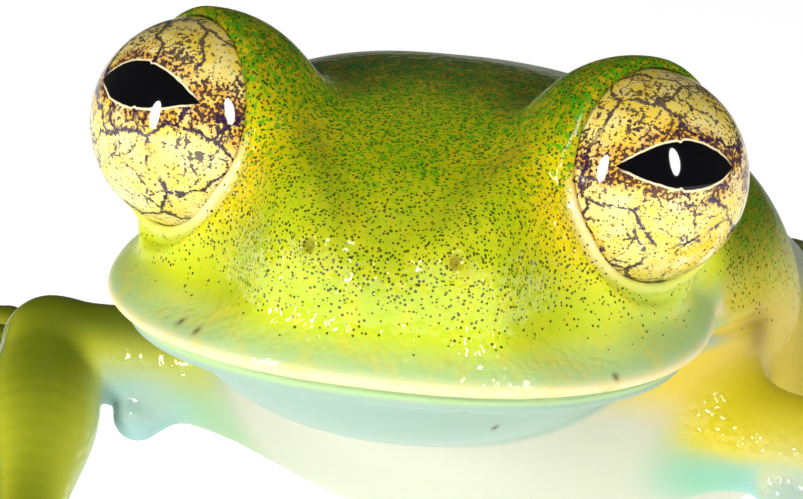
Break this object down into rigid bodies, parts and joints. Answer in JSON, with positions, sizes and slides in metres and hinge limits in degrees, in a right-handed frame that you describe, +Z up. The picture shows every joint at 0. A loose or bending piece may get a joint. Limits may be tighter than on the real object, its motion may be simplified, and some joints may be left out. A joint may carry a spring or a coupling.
{
  "type": "glass frog",
  "caption": "Life-size still model of a green glass frog with bulging pale eyes, sitting with raised head, spread arms and folded hind legs.",
  "frame": {"origin": "middle of the flat of the belly that rests on the floor", "axes": "+Z up from the floor, the frog faces -Y, its left side is +X"},
  "size_m": [0.0329, 0.0284, 0.0107],
  "materials": {
    "skin": "moist",
    "belly": "moist",
    "eye": "wet"
  },
  "bodies": {
    "root": {"head": "skin", "torso": "skin", "upper_arm_left": "skin", "forearm_left": "skin", "hand_left": "skin", "thigh_left": "skin", "shank_left": "skin", "tarsus_left": "skin", "foot_left": "skin", "upper_arm_right": "skin", "forearm_right": "skin", "hand_right": "skin", "thigh_right": "skin", "shank_right": "skin", "tarsus_right": "skin", "foot_right": "skin", "lower_jaw": "belly", "eye_left": "eye", "eye_right": "eye"}
  },
  "joints": []
}
